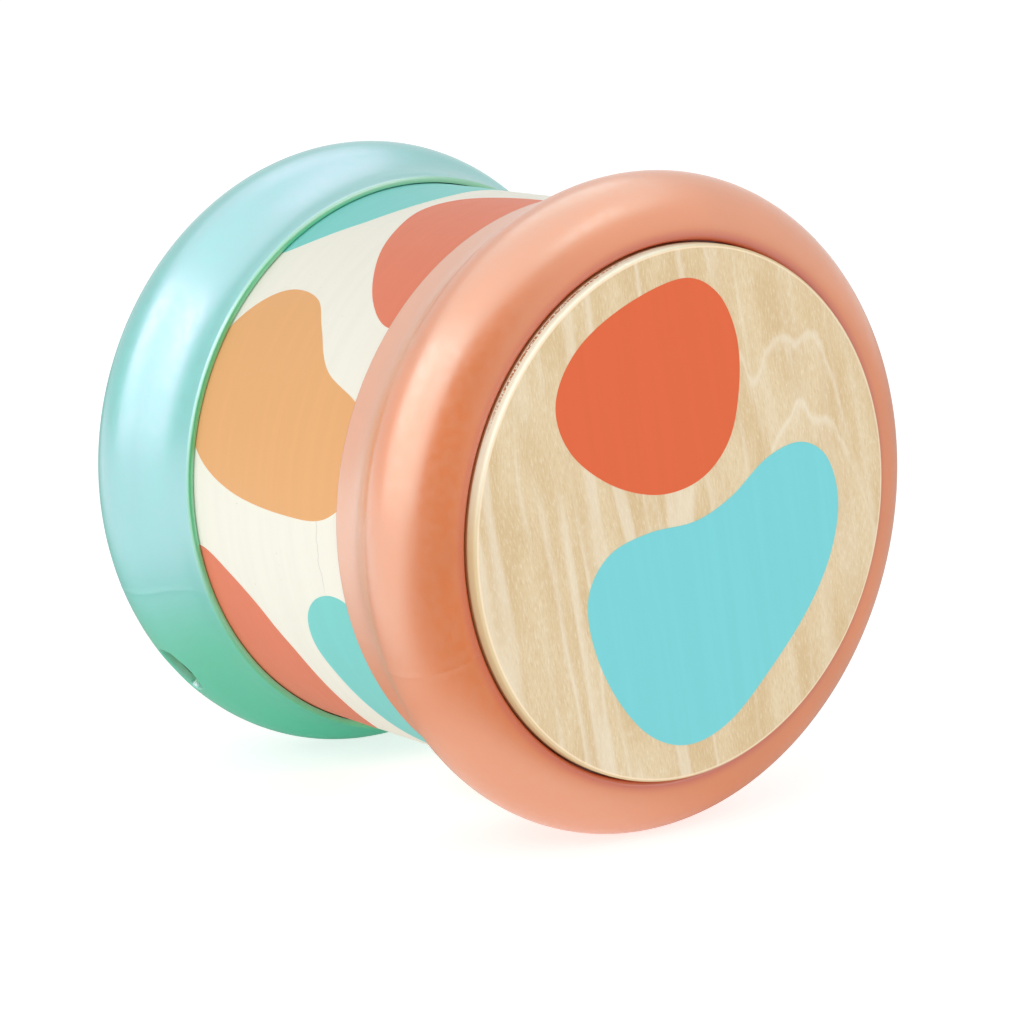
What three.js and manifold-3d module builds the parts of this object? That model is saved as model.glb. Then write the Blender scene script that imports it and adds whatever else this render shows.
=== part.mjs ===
import * as THREE from 'three';
import { mergeVertices } from 'three/addons/utils/BufferGeometryUtils.js';
import Module from 'manifold-3d';

// A rolling rattle drum for small children. A bent plywood barrel runs between two hollow
// moulded bumper rings, a plywood head is let into each ring, and loose balls rattle inside.
// Millimetres, +Z up. The drum lies on its rings with its axis along Y, the front head
// faces -Y, and the origin is on the floor under its middle.

// Whole drum
const drumLength = 128;        // from head face to head face
const turnSegments = 60;       // flats round every turned surface, one of them at the bottom
const seatGap = 0.3;           // clearance where one piece is seated in or on another

// Bent plywood barrel
const barrelRadius = 61.8;
const barrelWall = 3;
const seamWidth = 0.5;         // glued joint where the bent plywood meets itself
const seamDepth = 0.3;
const seamAngle = -60;         // degrees from +X towards +Z

// Bumper rings
const ringWall = 2.1;          // moulded wall, also the inner tube, the ledge and the shoulder
const treadHeight = 8.2;       // how far the tread stands out from the barrel
const treadRound = 12;         // radius of the fat round tread in section
const lipRound = 1.2;          // rounding of the mouth that the head sits in
const creaseRound = 2;         // hollow where the tread runs into the collar
const collarWall = 1.4;
const collarDepth = 37;        // from head face to the collar's free edge
const collarEdgeRound = 0.5;
const collarGrip = 14.8;       // length of barrel inside the collar
const spigotReach = 5;         // length of the inner tube inside the barrel
const ledgeWidth = 8;          // the ledge that the head rests on
const ventLength = 14;         // oblong moulding vent through the tread, its long way round the ring
const ventWidth = 7.6;
const rearVentAngle = -42;     // degrees round the ring from its own +X towards +Z
const frontVentAngle = -52;

// Plywood heads
const headThickness = 5;
const headStandOut = 2.4;      // how far a head stands proud of its ring
const headEdgeRound = 0.7;

// Screws that hold each head from behind
const screwCount = 4;
const screwRadius = 1.4;
const screwBite = 3.2;         // length of thread in the head
const screwHeadRadius = 2.8;
const screwHeadHeight = 1.8;
const screwSlotWidth = 0.7;
const screwSlotDepth = 0.9;
const screwStartAngle = 45;    // degrees

// Loose rattle balls
const ballCount = 8;
const ballRadius = 3.5;

// What follows from the sizes above; depths run inwards from a head's outer face
const barrelBore = barrelRadius - barrelWall;
const spigotRadius = barrelBore - seatGap;
const mouthRadius = spigotRadius - ringWall;
const headRadius = mouthRadius - seatGap;
const treadRadius = barrelRadius + treadHeight;
const treadCentreRadius = treadRadius - treadRound;
const treadDepth = headStandOut + treadRound;
const collarBore = barrelRadius + seatGap;
const collarRadius = collarBore + collarWall;
const shoulderDepth = collarDepth - collarGrip;
const spigotDepth = shoulderDepth + spigotReach;
const ledgeDepth = headThickness + seatGap;
const ledgeBackDepth = ledgeDepth + ringWall;
const ledgeBore = mouthRadius - ledgeWidth;
const screwPitchRadius = mouthRadius - ledgeWidth / 2;
const screwHoleRadius = screwRadius + seatGap;
const barrelLength = drumLength - 2 * (shoulderDepth + seatGap);

const wasm = await Module();
wasm.setup();

const quarterTurn = Math.PI / 2;

// Turns a profile of [radius, height] points about Y. Its flats lie at the stated radius.
function turned(profile, segments = turnSegments) {
  const toCorner = 1 / Math.cos(Math.PI / segments);
  const points = profile.map(([radius, height]) => new THREE.Vector2(radius * toCorner, height));
  return new THREE.LatheGeometry(points, segments, Math.PI / segments);
}

// Points on an arc from one angle to another, both ends included, angles in radians.
function arc(radius, height, size, from, to, steps) {
  return Array.from({ length: steps + 1 }, (_, i) => {
    const angle = from + ((to - from) * i) / steps;
    return [radius + size * Math.cos(angle), height + size * Math.sin(angle)];
  });
}

// Closed mesh to solid and back, for the cuts.
function toSolid(geometry) {
  const bare = geometry.clone();
  bare.deleteAttribute('normal');
  bare.deleteAttribute('uv');
  const merged = mergeVertices(bare, 1e-4);
  return new wasm.Manifold(new wasm.Mesh({
    numProp: 3,
    vertProperties: new Float32Array(merged.attributes.position.array),
    triVerts: new Uint32Array(merged.index.array),
  }));
}

function toGeometry(solid) {
  const { vertProperties, triVerts } = solid.getMesh();
  const geometry = new THREE.BufferGeometry();
  geometry.setAttribute('position', new THREE.BufferAttribute(vertProperties, 3));
  geometry.setIndex(new THREE.BufferAttribute(triVerts, 1));
  geometry.computeVertexNormals();
  return geometry;
}

// Equal places round the axis, as [x, z] at the given radius.
function roundTheAxis(radius, count, startDegrees) {
  return Array.from({ length: count }, (_, i) => {
    const angle = THREE.MathUtils.degToRad(startDegrees) + (2 * Math.PI * i) / count;
    return [radius * Math.cos(angle), radius * Math.sin(angle)];
  });
}

// A bumper ring, mouth at the bottom of its own frame and +Y running into the drum.
function ringSkin() {
  const lipCentre = mouthRadius + lipRound;
  const lipRise = Math.sqrt((treadRound - lipRound) ** 2 - (lipCentre - treadCentreRadius) ** 2);
  const treadStart = Math.atan2(-lipRise, lipCentre - treadCentreRadius);
  const creaseCentre = collarRadius + creaseRound;
  const creaseRise = Math.sqrt((treadRound + creaseRound) ** 2 - (creaseCentre - treadCentreRadius) ** 2);
  const treadEnd = Math.atan2(creaseRise, creaseCentre - treadCentreRadius);
  const edge = collarEdgeRound;
  return [
    ...arc(lipCentre, treadDepth - lipRise, lipRound, -Math.PI, treadStart, 3),
    ...arc(treadCentreRadius, treadDepth, treadRound, treadStart, 0, 7).slice(1),
    ...arc(treadCentreRadius, treadDepth, treadRound, 0, treadEnd, 5).slice(1),
    ...arc(creaseCentre, treadDepth + creaseRise, creaseRound, treadEnd - Math.PI, -Math.PI, 2).slice(1),
    ...arc(collarRadius - edge, collarDepth - edge, edge, 0, quarterTurn, 2),
    [collarBore, collarDepth],
    [collarBore, shoulderDepth],
    [spigotRadius, shoulderDepth],
    [spigotRadius, spigotDepth],
    [mouthRadius, spigotDepth],
    [mouthRadius, ledgeBackDepth],
    [ledgeBore, ledgeBackDepth],
    [ledgeBore, ledgeDepth],
    [mouthRadius, ledgeDepth],
  ];
}

function ringHollow() {
  const size = treadRound - ringWall;
  const inset = spigotRadius - treadCentreRadius;
  const backDepth = shoulderDepth - ringWall;
  const from = -Math.acos(inset / size);
  const to = Math.asin((backDepth - treadDepth) / size);
  return [
    ...arc(treadCentreRadius, treadDepth, size, from, to, 6),
    [spigotRadius, backDepth],
  ];
}

function closed(profile) {
  return [...profile, profile[0]];
}

// An oblong cutter through the tread wall, square to it.
function ventCutter(angleDegrees) {
  const endRound = ventWidth / 2;
  const straight = ventLength / 2 - endRound;
  const outline = new THREE.Shape();
  outline.absarc(straight, 0, endRound, -quarterTurn, quarterTurn);
  outline.absarc(-straight, 0, endRound, quarterTurn, 3 * quarterTurn);
  const cutter = new THREE.ExtrudeGeometry(outline, {
    depth: treadRound,
    bevelEnabled: false,
    curveSegments: 8,
  });
  cutter.rotateY(quarterTurn);
  cutter.translate(treadRadius - 2 * ringWall, treadDepth, 0);
  cutter.rotateY(THREE.MathUtils.degToRad(-angleDegrees));
  return toSolid(cutter);
}

function screwHoleCutter(x, z) {
  const depth = ledgeBackDepth + ringWall;
  const cutter = new THREE.CylinderGeometry(screwHoleRadius, screwHoleRadius, depth, 12);
  cutter.translate(x, headThickness - screwBite - seatGap + depth / 2, z);
  return toSolid(cutter);
}

const screwPlaces = roundTheAxis(screwPitchRadius, screwCount, screwStartAngle);

function ringGeometry(ventAngle) {
  let ring = toSolid(turned(closed(ringSkin())));
  ring = ring.subtract(toSolid(turned(closed(ringHollow()))));
  ring = ring.subtract(ventCutter(ventAngle));
  for (const [x, z] of screwPlaces) {
    ring = ring.subtract(screwHoleCutter(x, z));
  }
  return toGeometry(ring);
}

function headGeometry() {
  const edge = headEdgeRound;
  let head = toSolid(turned([
    [0, 0],
    ...arc(headRadius - edge, edge, edge, -quarterTurn, 0, 3),
    [headRadius, headThickness],
    [0, headThickness],
  ]));
  for (const [x, z] of screwPlaces) {
    head = head.subtract(screwHoleCutter(x, z));
  }
  return toGeometry(head);
}

// A pan head screw with a cross slot, its point towards -Y and the underside of its head at 0.
function screwGeometry() {
  const shank = ledgeBackDepth + seatGap - headThickness + screwBite;
  const blank = toSolid(turned([
    [0, -shank],
    [screwRadius, -shank + screwRadius],
    [screwRadius, 0],
    [screwHeadRadius, 0],
    [screwHeadRadius, screwHeadHeight / 2],
    [screwHeadRadius * 0.6, screwHeadHeight],
    [0, screwHeadHeight],
  ], 12));
  const slotLength = screwHeadRadius;
  const slot = new THREE.BoxGeometry(slotLength, 2 * screwSlotDepth, screwSlotWidth);
  slot.translate(0, screwHeadHeight, 0);
  const crossSlot = slot.clone().rotateY(quarterTurn);
  return toGeometry(blank.subtract(toSolid(slot)).subtract(toSolid(crossSlot)));
}

// A bent tube with the shallow groove of its glued joint along the outside.
function barrelGeometry() {
  const half = barrelLength / 2;
  const tube = toSolid(turned(closed([
    [barrelBore, -half],
    [barrelRadius, -half],
    [barrelRadius, half],
    [barrelBore, half],
  ])));
  const groove = new THREE.BoxGeometry(2 * seamDepth, barrelLength + 2 * seamDepth, seamWidth);
  groove.translate(barrelRadius, 0, 0);
  groove.rotateY(THREE.MathUtils.degToRad(-seamAngle));
  return toGeometry(tube.subtract(toSolid(groove)));
}

const coralPlastic = new THREE.MeshStandardMaterial({ color: 0xe4946c, roughness: 0.38, metalness: 0 });
const tealPlastic = new THREE.MeshStandardMaterial({ color: 0x74cdbf, roughness: 0.38, metalness: 0 });
const creamPaint = new THREE.MeshStandardMaterial({ color: 0xf3efde, roughness: 0.5, metalness: 0 });
const plywood = new THREE.MeshStandardMaterial({ color: 0xdecda6, roughness: 0.55, metalness: 0 });
const beechBall = new THREE.MeshStandardMaterial({ color: 0xd6b483, roughness: 0.6, metalness: 0 });
const zincSteel = new THREE.MeshStandardMaterial({ color: 0xb8bcc0, roughness: 0.35, metalness: 1 });

const headShape = headGeometry();
const screwShape = screwGeometry();
const ballShape = new THREE.SphereGeometry(ballRadius, 12, 8);

function piece(name, geometry, material) {
  const mesh = new THREE.Mesh(geometry, material);
  mesh.name = name;
  return mesh;
}

// One end of the drum in its own frame: ring, head and the screws that hold the head.
function drumEnd(side, ventAngle, plastic) {
  const end = new THREE.Group();
  end.add(piece(`${side}_ring`, ringGeometry(ventAngle), plastic));
  end.add(piece(`${side}_head`, headShape, plywood));
  screwPlaces.forEach(([x, z], i) => {
    const screw = piece(`${side}_head_screw_${i + 1}`, screwShape, zincSteel);
    screw.position.set(x, ledgeBackDepth + seatGap, z);
    end.add(screw);
  });
  return end;
}

const drum = new THREE.Group();
drum.position.z = treadRadius;

drum.add(piece('barrel_shell', barrelGeometry(), creamPaint));

const frontEnd = drumEnd('front', frontVentAngle, coralPlastic);
frontEnd.position.y = -drumLength / 2;
drum.add(frontEnd);

const rearEnd = drumEnd('rear', rearVentAngle, tealPlastic);
rearEnd.position.y = drumLength / 2;
rearEnd.rotation.z = Math.PI;
drum.add(rearEnd);

// Each ball lies at the bottom of the barrel in a lane of its own between the two spigots.
const laneWidth = (drumLength - 2 * spigotDepth) / ballCount;
for (let i = 0; i < ballCount; i += 1) {
  const ball = piece(`rattle_ball_${i + 1}`, ballShape, beechBall);
  ball.position.y = (i - (ballCount - 1) / 2) * laneWidth;
  ball.position.z = ballRadius + seatGap - barrelBore;
  drum.add(ball);
}

export default drum;
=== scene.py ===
"""The looks of a rolling rattle drum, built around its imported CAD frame. Metres, +Z up.

The drum lies on its two bumper rings with its axis along Y. Angles round that axis are in
degrees from +X towards +Z, and depths run inwards from a head's outer face.
"""

import math

import bmesh
import bpy
from mathutils import Matrix, Vector, geometry


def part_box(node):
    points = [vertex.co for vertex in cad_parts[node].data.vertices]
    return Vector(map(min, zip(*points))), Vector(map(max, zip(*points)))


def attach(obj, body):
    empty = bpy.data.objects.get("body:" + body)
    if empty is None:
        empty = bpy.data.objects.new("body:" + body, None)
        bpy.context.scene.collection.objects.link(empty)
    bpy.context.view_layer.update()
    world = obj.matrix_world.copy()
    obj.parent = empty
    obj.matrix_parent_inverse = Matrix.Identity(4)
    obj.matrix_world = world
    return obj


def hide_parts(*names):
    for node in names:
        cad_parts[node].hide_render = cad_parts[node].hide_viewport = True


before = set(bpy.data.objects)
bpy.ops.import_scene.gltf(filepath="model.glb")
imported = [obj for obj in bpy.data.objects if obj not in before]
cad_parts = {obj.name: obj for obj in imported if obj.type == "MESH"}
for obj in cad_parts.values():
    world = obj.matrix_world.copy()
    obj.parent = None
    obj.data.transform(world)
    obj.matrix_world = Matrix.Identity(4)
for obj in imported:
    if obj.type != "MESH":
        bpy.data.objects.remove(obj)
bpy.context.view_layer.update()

MM = 0.001
BODY = "drum"
FRONT, REAR = -1, 1  # the side of the middle that an end lies on, along Y

# Sizes read from the frame
barrel_low, barrel_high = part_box("barrel_shell")
ring_low, ring_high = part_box("front_ring")
head_low, head_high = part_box("front_head")
ball_low, ball_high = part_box("rattle_ball_1")
AXIS_HEIGHT = (barrel_low.z + barrel_high.z) / 2
BARREL_RADIUS = (barrel_high.z - barrel_low.z) / 2
BARREL_HALF = barrel_high.y
TREAD_RADIUS = (ring_high.z - ring_low.z) / 2
HEAD_RADIUS = (head_high.z - head_low.z) / 2
HEAD_FACE = -head_low.y
HEAD_THICKNESS = head_high.y - head_low.y
HEAD_STAND_OUT = ring_low.y - head_low.y
COLLAR_DEPTH = HEAD_FACE + ring_high.y
BALL_RADIUS = (ball_high.z - ball_low.z) / 2

# Sizes of the rings' section
SEAT_GAP = 0.3 * MM
BARREL_WALL = 3 * MM
RING_WALL = 2.1 * MM
TREAD_ROUND = 12 * MM
LIP_ROUND = 1.2 * MM
CREASE_ROUND = 20 * MM
COLLAR_WALL = 1.4 * MM
COLLAR_EDGE_ROUND = 1.1 * MM
SPIGOT_REACH = 5 * MM
LEDGE_WIDTH = 8 * MM
BARREL_BORE = BARREL_RADIUS - BARREL_WALL
SPIGOT_RADIUS = BARREL_BORE - SEAT_GAP
MOUTH_RADIUS = SPIGOT_RADIUS - RING_WALL
TREAD_CENTRE = TREAD_RADIUS - TREAD_ROUND
TREAD_DEPTH = HEAD_STAND_OUT + TREAD_ROUND
COLLAR_BORE = BARREL_RADIUS + SEAT_GAP
COLLAR_RADIUS = COLLAR_BORE + COLLAR_WALL
SHOULDER_DEPTH = HEAD_FACE - BARREL_HALF - SEAT_GAP
SPIGOT_DEPTH = SHOULDER_DEPTH + SPIGOT_REACH
LEDGE_DEPTH = HEAD_THICKNESS + SEAT_GAP
LEDGE_BACK_DEPTH = LEDGE_DEPTH + RING_WALL
LEDGE_BORE = MOUTH_RADIUS - LEDGE_WIDTH

# Steps of the fine surfaces
TURN_STEP = 1.5  # degrees round the axis
SECTION_STEP = 5  # degrees round the tread's section
BARREL_STEPS = 40  # along the barrel

# The vent, and the patch round it where a ring's outside and its hollow are joined. The shares
# are of the way from the vent's rim to the patch's border.
VENT_LENGTH = 14 * MM
VENT_WIDTH = 7.6 * MM
VENT_RIM = 0.7 * MM
VENT_ANGLE = {FRONT: 308, REAR: 222}
VENT_HALF_TURN = 9  # degrees of skin that the patch takes in, each way
VENT_HALF_SECTION = 30
PATCH_SHARES = (0.72, 0.48, 0.28, 0.13, 0.04)
PATCH_BACK_SHARES = (0.1, 0.4)
RIM_TURNS = (25, 50, 70, 90)  # degrees of the rim's rounding

# The fine raised line where two flows of plastic met
WELD_ANGLE = 202.5
WELD_HALF_TURN = 0.25
WELD_HEIGHT = 0.05 * MM
WELD_ROWS = 20  # rows of the skin that it runs on past the vent's patch

# Edges, joints and paint
HEAD_EDGE_ROUND = 0.8 * MM
HEAD_BACK_EDGE = 0.2 * MM
BARREL_EDGE_ROUND = 0.4 * MM
SEAM_ANGLE = -60  # degrees; where the bent plywood meets itself
SEAM_WIDTH = 0.5 * MM
SEAM_DEPTH = 0.3 * MM
CRACK_ANGLE = 187  # degrees; the middle of the hairline in the barrel's paint
CRACK_Y = -18.2  # millimetres, as is its half length
CRACK_HALF = 10
PAINT_THICKNESS = 0.06 * MM

# Steps of the printed spots
SPOT_SPACING = 1.2 * MM
CURVE_STEPS = 24
LATTICE_RISE = 0.866  # height of an equal-sided triangle
LATTICE_CLEAR = 0.6  # of a step, between the lattice and the outline

# Rattle balls
BALL_FLAT_ANGLE = 80  # degrees from the ball's middle plane to the lathe's flats
BALL_STEPS = 20
BALL_TURNS = 40


# Colours

def colour(red, green, blue):
    """Linear RGBA of an sRGB colour given from 0 to 255."""
    def linear(value):
        share = value / 255
        return share / 12.92 if share <= 0.04045 else ((share + 0.055) / 1.055) ** 2.4
    return (linear(red), linear(green), linear(blue), 1)


def shade(base, factor):
    """A colour made lighter or darker."""
    return (*[min(1, channel * factor) for channel in base[:3]], 1)


CREAM = colour(244, 242, 228)
CORAL_PLASTIC = colour(237, 121, 48)
# Deeper coral, painted as shade at the collar's edge and mouth and as bounced light in the hollow
CORAL_SHADE_AND_BOUNCE = colour(222, 84, 46)
# Paler coral, painted on the collar as a sheen
CORAL_COLLAR_SHEEN = colour(237, 146, 103)
TEAL_PLASTIC = colour(30, 202, 174)
# Greener teal, painted on the underside as shade
TEAL_UNDERSIDE_SHADE = colour(12, 213, 156)
# Deeper teal, painted as shade at the collar's edge and mouth and as bounced light in the hollow
TEAL_SHADE_AND_BOUNCE = colour(0, 200, 112)
APRICOT = colour(233, 175, 117)
BARREL_SPOT_COLOURS = {"apricot": APRICOT, "aqua": colour(127, 213, 207), "coral": colour(229, 130, 99)}
HEAD_SPOT_COLOURS = {"apricot": APRICOT, "aqua": colour(124, 213, 218), "coral": colour(226, 105, 64)}
WOOD_PALE = colour(246, 237, 218)
WOOD_LIGHT = colour(229, 208, 170)
WOOD_MID = colour(219, 192, 148)
WOOD_DARK = colour(204, 172, 124)
WOOD_EDGE = colour(220, 198, 154)
# Rim colour with a highlight painted in, on its upper-left side
WOOD_EDGE_HIGHLIGHT = colour(250, 249, 226)
# A highlight painted as a thin line round the face's edge
WOOD_EDGE_LINE_HIGHLIGHT = colour(255, 232, 200)
# Dark ply and beech flecks, and shade painted in the gap by the head's rim
DARK_PLY_AND_GAP_SHADE = colour(196, 132, 84)
BEECH_LIGHT = colour(222, 188, 142)
BEECH_DARK = colour(196, 154, 104)
ZINC = colour(190, 193, 196)
CORAL_PEARL = (0.4, 1, 1, 1)
TEAL_PEARL = (1, 0.6, 1, 1)
FLOOR_GREY = (0.6, 0.6, 0.6, 1)
WHITE = (1, 1, 1, 1)


# Materials

class Nodes:
    """A node tree. Each call adds one node or a few and returns what they give."""

    def __init__(self, tree):
        self.tree = tree

    def node(self, kind, inputs, **properties):
        """Adds a node and sets or links its inputs."""
        made = self.tree.nodes.new(kind)
        for key, value in properties.items():
            setattr(made, key, value)
        for socket, value in inputs.items():
            if isinstance(value, bpy.types.NodeSocket):
                self.tree.links.new(value, made.inputs[socket])
            else:
                made.inputs[socket].default_value = value
        return made

    def math(self, operation, *values):
        return self.node("ShaderNodeMath", dict(enumerate(values)), operation=operation).outputs[0]

    def plus(self, first, second):
        return self.math("ADD", first, second)

    def minus(self, first, second):
        return self.math("SUBTRACT", first, second)

    def times(self, first, second):
        return self.math("MULTIPLY", first, second)

    def larger(self, first, second):
        return self.math("MAXIMUM", first, second)

    def length(self, first, second):
        """The length of a vector of two parts."""
        return self.math("SQRT", self.plus(self.times(first, first), self.times(second, second)))

    def away(self, value, middle):
        """How far a value lies from another, without its sign."""
        return self.math("ABSOLUTE", self.minus(value, middle))

    def between(self, value, low, high, to_low=0.0, to_high=1.0):
        """The value mapped smoothly from low..high to another range, clamped."""
        return self.node("ShaderNodeMapRange", {
            "Value": value, "From Min": low, "From Max": high,
            "To Min": to_low, "To Max": to_high,
        }, interpolation_type="SMOOTHSTEP").outputs["Result"]


class Finish(Nodes):
    """A material and its node tree."""

    def __init__(self, name, base, roughness, **settings):
        self.material = bpy.data.materials.new(name)
        self.material.use_nodes = True
        super().__init__(self.material.node_tree)
        self.shader = self.tree.nodes["Principled BSDF"]
        self.shader.inputs["Base Color"].default_value = base
        self.shader.inputs["Roughness"].default_value = roughness
        for socket, value in settings.items():
            self.shader.inputs[socket.replace("_", " ")].default_value = value

    def place(self):
        """X, Y and height above the drum's axis of the shaded point, in millimetres."""
        point = self.node("ShaderNodeTexCoord", {}).outputs["Object"]
        parts = self.node("ShaderNodeSeparateXYZ", {0: point}).outputs
        x = self.times(parts["X"], 1 / MM)
        y = self.times(parts["Y"], 1 / MM)
        z = self.times(self.minus(parts["Z"], AXIS_HEIGHT), 1 / MM)
        return x, y, z

    def depth(self, y):
        """Depth inside the nearer head's outer face, in millimetres."""
        return self.minus(HEAD_FACE / MM, self.math("ABSOLUTE", y))

    def unrolled(self):
        """Distance round the barrel from the side opposite its seam, and Y, in millimetres."""
        x, y, z = self.place()
        ahead = math.radians(SEAM_ANGLE + 180)
        along = self.plus(self.times(x, math.cos(ahead)), self.times(z, math.sin(ahead)))
        across = self.minus(self.times(z, math.cos(ahead)), self.times(x, math.sin(ahead)))
        return self.times(self.math("ARCTAN2", across, along), BARREL_RADIUS / MM), y

    def vector(self, x=0.0, y=0.0, z=0.0):
        return self.node("ShaderNodeCombineXYZ", {0: x, 1: y, 2: z}).outputs[0]

    def noise(self, vector, scale, detail=2.0, roughness=0.5):
        return self.node("ShaderNodeTexNoise", {
            "Vector": vector, "Scale": scale, "Detail": detail, "Roughness": roughness,
        }).outputs["Fac"]

    def curve(self, value, points):
        """The value put through a smooth curve of (from, to) points."""
        froms, tos = zip(*points)
        low, high, bottom, top = min(froms), max(froms), min(tos), max(tos)
        share = self.node("ShaderNodeMapRange", {"Value": value, "From Min": low, "From Max": high})
        made = self.node("ShaderNodeFloatCurve", {"Value": share.outputs["Result"]})
        line = made.mapping.curves[0]
        while len(line.points) < len(points):
            line.points.new(0.5, 0.5)
        for place, (start, end) in zip(line.points, points):
            place.location = ((start - low) / (high - low), (end - bottom) / (top - bottom))
        made.mapping.update()
        return self.node("ShaderNodeMapRange", {
            "Value": made.outputs["Value"], "To Min": bottom, "To Max": top,
        }).outputs["Result"]

    def mix(self, share, first, second):
        return self.node("ShaderNodeMix", {0: share, 6: first, 7: second}, data_type="RGBA").outputs[2]

    def set(self, socket, value):
        self.tree.links.new(value, self.shader.inputs[socket])

    def bump(self, height, distance, strength):
        made = self.node("ShaderNodeBump", {
            "Height": height, "Distance": distance, "Strength": strength,
        })
        self.set("Normal", made.outputs["Normal"])


# The rings' thin collar, in millimetres of depth, where a paler tint is painted as a sheen, and the
# underside, where a greener tint is painted as shade: its middle in degrees, and the cosines of
# the angles from there at which that tint starts and is full
COLLAR_SHEEN_START, COLLAR_SHEEN_FULL = 20, 27
UNDERSIDE_SHADE_ANGLE = 245
UNDERSIDE_SHADE_START, UNDERSIDE_SHADE_FULL = 0.68, 0.92


def moulded_plastic(name, base, thin, low, shade_and_bounce, pearl, index):
    """Glossy moulded plastic with a pearly skin. The thin collar takes a paler tint, painted as a
    sheen, and the underside a greener one, painted as shade. A deeper colour is painted as shade
    at the collar's edge and inside the mouth, and as bounced light inside the hollow."""
    finish = Finish(name, base, 0.34, IOR=index, Specular_IOR_Level=0.9, Specular_Tint=pearl,
                    Coat_Weight=0.5, Coat_IOR=1.5, Coat_Roughness=0.2)
    x, y, z = finish.place()
    place = finish.vector(x, y, z)
    drift = finish.noise(place, 0.035, detail=1.0)
    tint = finish.mix(finish.between(drift, 0.35, 0.65), shade(base, 1.03), shade(base, 0.97))
    depth = finish.depth(y)
    # A paler tint is painted on the collar as a sheen
    tint = finish.mix(finish.between(depth, COLLAR_SHEEN_START, COLLAR_SHEEN_FULL), tint, thin)
    # A greener tint is painted round the underside as shade
    turn = finish.minus(finish.math("ARCTAN2", z, x), math.radians(UNDERSIDE_SHADE_ANGLE))
    last = finish.between(finish.math("COSINE", turn), UNDERSIDE_SHADE_START, UNDERSIDE_SHADE_FULL)
    tint = finish.mix(last, tint, low)
    # A deeper colour is painted as shade at the collar's edge and inside the mouth
    collar = finish.between(depth, COLLAR_DEPTH / MM - 0.9, COLLAR_DEPTH / MM - 0.35)
    radius = finish.length(x, z)
    mouth = finish.between(radius, MOUTH_RADIUS / MM + 0.5, MOUTH_RADIUS / MM + 3.0, 1, 0)
    tint = finish.mix(finish.larger(collar, mouth), tint, shade_and_bounce)
    # The hollow inside the wall, painted in the deeper colour as bounced light and shade
    size = finish.length(finish.minus(radius, TREAD_CENTRE / MM), finish.minus(depth, TREAD_DEPTH / MM))
    hollow = finish.between(size, (TREAD_ROUND - RING_WALL) / MM, TREAD_ROUND / MM - 0.5, 1, 0)
    finish.set("Base Color", finish.mix(hollow, tint, shade_and_bounce))
    finish.set("Roughness", finish.between(finish.noise(place, 0.5), 0.3, 0.7, 0.3, 0.38))
    finish.bump(finish.noise(place, 1.6), 0.01 * MM, 0.5)
    return finish.material


# The pointed figure of the heads' veneer: height over distance across, in millimetres
UPPER_ARCH = [(0, -8), (8, 16), (13, 33), (17.4, 27.1), (21, 33), (25, 35.4), (29.8, 34.1),
              (32.9, 35.6), (38.7, 28.6), (44, 16), (49, 3.8), (56, -7)]
LOWER_ARCH = [(10, -20), (20, 2), (24.7, 14.7), (27.8, 17.9), (30.9, 21.4), (35, 17.2), (39, 16.8),
              (43, 12), (47.6, 4.6), (56, -14)]
ARCH_STRENGTHS = ((UPPER_ARCH, 0.42), (LOWER_ARCH, 0.48))
GRAIN_LEAN = math.radians(12)  # of the heads' grain from upright
GRAIN_SWAY = 5  # millimetres that it wanders sideways
ARCH_JITTER = 1.8
PLY_MIDDLE, PLY_HALF = 0.85, 1.25  # millimetres: the outer ply's middle, and on to the glue line
RIM_HIGHLIGHT_SIDE = math.radians(130)  # the side of the rim where a highlight is painted


def pale_streaks(finish, across, along):
    """Thin pale lines along the grain, from 0 to 1, that come and go."""
    line = finish.noise(finish.vector(across, finish.times(along, 0.05)), 0.12, detail=1.5)
    come = finish.noise(finish.vector(across, finish.times(along, 0.25), 40.0), 0.09, detail=1.0)
    thin = finish.between(finish.away(line, 0.5), 0, 0.06, 1, 0)
    return finish.times(thin, finish.between(come, 0.36, 0.56))


def veneer(finish, across, along, streaked):
    """(colour, fibres) of birch veneer, from millimetres across and along the grain and how
    strong its pale streaks are."""
    mottle = finish.noise(finish.vector(across, finish.times(along, 0.3)), 0.11, detail=3.0)
    fibre = finish.vector(across, finish.times(along, 0.2))
    fibres = finish.noise(fibre, 2.6, detail=3.0, roughness=0.7)
    tint = finish.mix(finish.between(mottle, 0.35, 0.65), WOOD_MID, WOOD_LIGHT)
    tint = finish.mix(finish.between(fibres, 0.48, 0.75, 0, 0.45), tint, WOOD_DARK)
    tint = finish.mix(finish.between(fibres, 0.5, 0.25, 0, 0.5), tint, WOOD_PALE)
    streaks = finish.times(pale_streaks(finish, across, along), streaked)
    return finish.mix(streaks, tint, WOOD_PALE), fibres


def add_arches(finish, base, x, z, across, along):
    """The veneer with its pointed figure: each arch is a pale line with short pale strokes
    hanging from it."""
    strokes = finish.noise(finish.vector(across, finish.times(along, 0.12)), 1.1)
    jitter = finish.noise(finish.vector(x, finish.times(z, 0.4)), 0.6)
    jitter = finish.times(finish.minus(jitter, 0.5), ARCH_JITTER)
    for arch, strength in ARCH_STRENGTHS:
        under = finish.minus(finish.curve(x, arch), finish.plus(z, jitter))
        top = finish.between(under, -0.8, 0.7)
        line = finish.times(top, finish.between(under, 0.6, 3.2, 1, 0))
        hang = finish.times(top, finish.between(under, 0.5, 9.0, 1, 0))
        hang = finish.times(hang, finish.between(strokes, 0.46, 0.6, 0, 0.6))
        start = arch[1][0]
        ends = finish.times(finish.between(x, start, start + 6), finish.between(x, 36, 50, 1, 0.3))
        pale = finish.times(finish.larger(line, hang), ends)
        base = finish.mix(finish.times(pale, strength), base, WOOD_PALE)
    return base


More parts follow.
